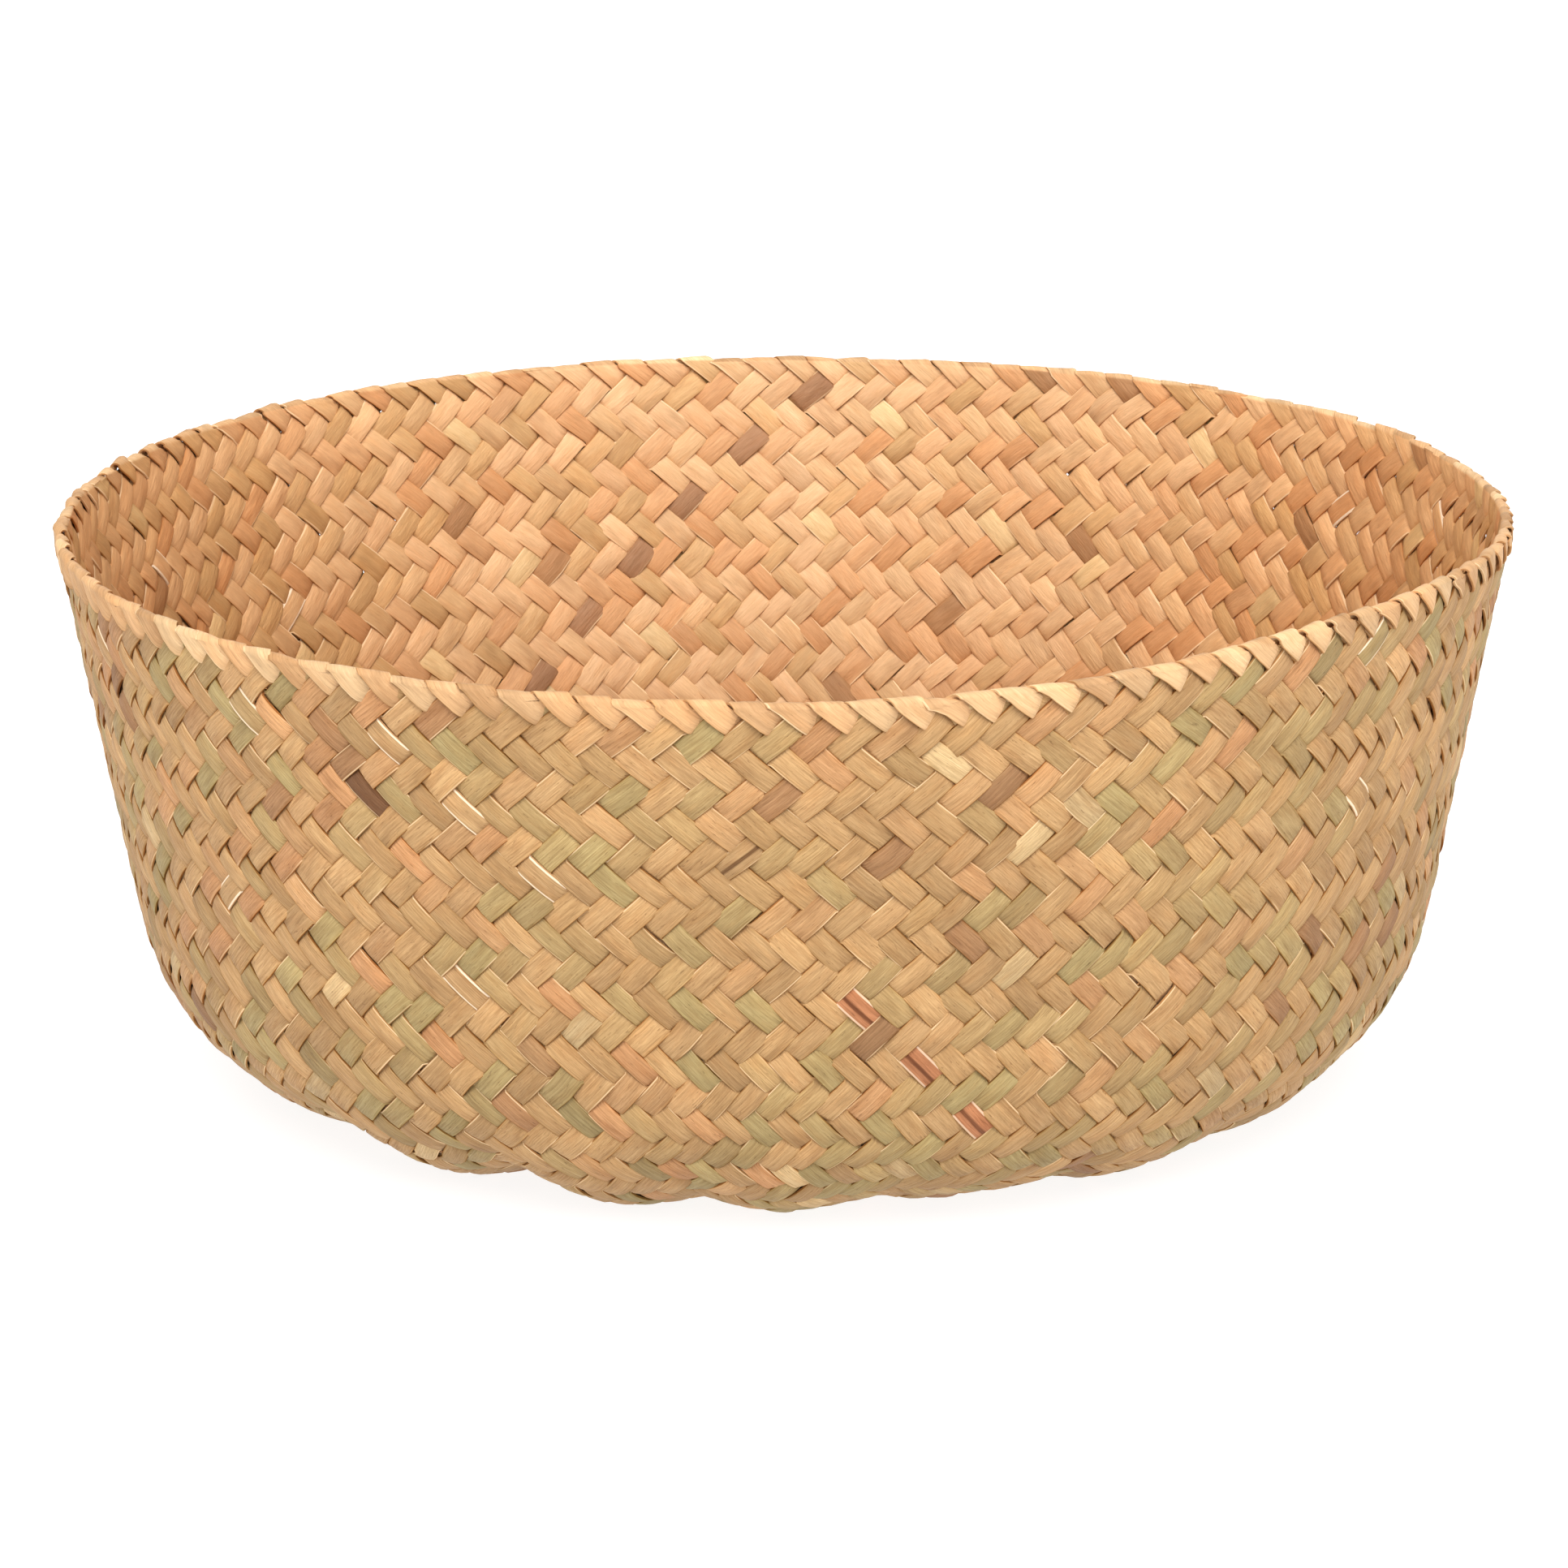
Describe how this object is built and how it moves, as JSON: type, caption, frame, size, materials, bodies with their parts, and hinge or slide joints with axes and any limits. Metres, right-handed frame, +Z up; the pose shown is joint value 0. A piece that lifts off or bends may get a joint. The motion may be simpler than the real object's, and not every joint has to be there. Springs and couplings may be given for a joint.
{
  "type": "belly basket",
  "caption": "Round, wide open basket plaited on the bias from flat seagrass strands, with outward leaning wall, rounded lobed base and folded strand border.",
  "frame": {"origin": "on the floor, at the middle of the base", "axes": "+Z up through the mouth, -Y towards the picture's camera, +X to the picture's right"},
  "size_m": [0.3996, 0.3996, 0.1615],
  "materials": {
    "mat_seagrass": "plaited dried seagrass, warm tan",
    "wall_seagrass": "plaited dried seagrass, straw, khaki and peach strands",
    "border_seagrass": "folded dried seagrass strand ends, pale straw"
  },
  "bodies": {
    "root": {"base_mat": "mat_seagrass", "belly_wall": "wall_seagrass", "rim_border": "border_seagrass"}
  },
  "joints": []
}
